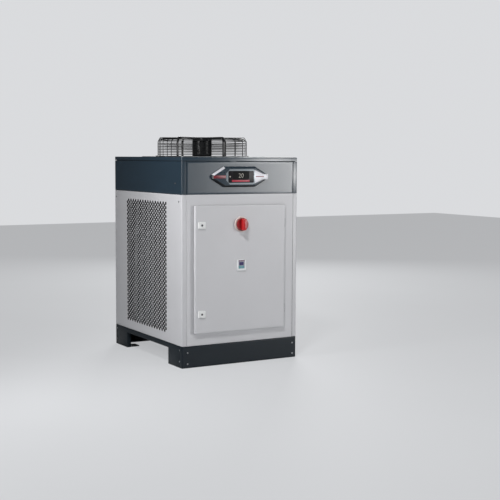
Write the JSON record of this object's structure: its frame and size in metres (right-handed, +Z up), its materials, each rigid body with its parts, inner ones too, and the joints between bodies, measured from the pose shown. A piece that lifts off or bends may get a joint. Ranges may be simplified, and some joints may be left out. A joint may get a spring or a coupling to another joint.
{
  "type": "packaged water chiller",
  "caption": "Free-standing air-cooled water chiller: cabinet on a forklift plinth, perforated sides, roof fan with wire guard, control panel and hinged switchgear door.",
  "frame": {"origin": "centre of the cabinet footprint, on the floor", "axes": "+Z up, -Y out of the front door, +X to the right seen from the front"},
  "size_m": [0.765, 1.063, 1.32],
  "materials": {
    "grey_panel": "satin",
    "slate_panel": "satin",
    "galvanised": "satin",
    "black_wire": "satin",
    "coil": "satin",
    "seal": "matte",
    "hinge": "satin",
    "bezel": "gloss",
    "silver_face": "satin",
    "screen": "gloss",
    "pipe_brass": "satin",
    "black_plastic": "matte",
    "lock_plastic": "satin",
    "lock_metal": "satin",
    "switch_ring": "satin",
    "switch_red": "gloss",
    "meter_frame": "satin",
    "fan_blade": "satin"
  },
  "bodies": {
    "cabinet": {"plinth_front": "slate_panel", "plinth_rear": "slate_panel", "plinth_side_left": "slate_panel", "plinth_side_right": "slate_panel", "foot_plates": "galvanised", "base_pan": "galvanised", "front_panel": "grey_panel", "rear_panel": "grey_panel", "side_panel_left": "grey_panel", "side_panel_right": "grey_panel", "band_front": "slate_panel", "band_rear": "slate_panel", "band_left": "slate_panel", "band_right": "slate_panel", "roof": "slate_panel", "enclosure_sides": "grey_panel", "enclosure_top_floor": "grey_panel", "enclosure_back": "grey_panel", "mounting_plate": "galvanised", "door_seal": "seal", "hinge_pins": "hinge", "display_bezel": "bezel", "display_face": "silver_face", "display_screen": "screen", "condenser_left": "coil", "condenser_right": "coil", "compressor": "black_wire", "buffer_tank": "seal", "fan_nozzle": "galvanised", "fan_motor": "black_wire", "fan_bracket": "black_wire", "guard_wall": "black_wire", "guard_top": "black_wire", "water_pipes": "pipe_brass", "cable_gland": "black_plastic"},
    "door": {"door": "grey_panel", "hinge_knuckles": "hinge", "locks": "lock_plastic", "switch_ring": "switch_ring", "switch_block": "black_plastic", "meter_frame": "meter_frame"},
    "knob": {"switch_knob": "switch_red"},
    "insert_upper": {"lock_insert_upper": "lock_metal"},
    "insert_lower": {"lock_insert_lower": "lock_metal"},
    "rotor": {"fan_rotor": "fan_blade"}
  },
  "joints": [
    {"name": "door_hinge", "type": "hinge", "parent": "cabinet", "child": "door", "pos_m": [0.292, -0.481, 0.561], "axis": [0, 0, 1], "range_deg": [0, 110]},
    {"name": "switch_turn", "type": "hinge", "parent": "door", "child": "knob", "pos_m": [-0.011, -0.52, 0.815], "axis": [0, 1, 0], "range_deg": [0, 90]},
    {"name": "lock_turn_upper", "type": "hinge", "parent": "door", "child": "insert_upper", "pos_m": [-0.269, -0.49, 0.815], "axis": [0, 1, 0], "range_deg": [0, 90]},
    {"name": "lock_turn_lower", "type": "hinge", "parent": "door", "child": "insert_lower", "pos_m": [-0.269, -0.49, 0.307], "axis": [0, 1, 0], "range_deg": [0, 90]},
    {"name": "fan_spin", "type": "hinge", "parent": "cabinet", "child": "rotor", "pos_m": [0, 0.01, 1.167], "axis": [0, 0, 1], "continuous": true}
  ]
}
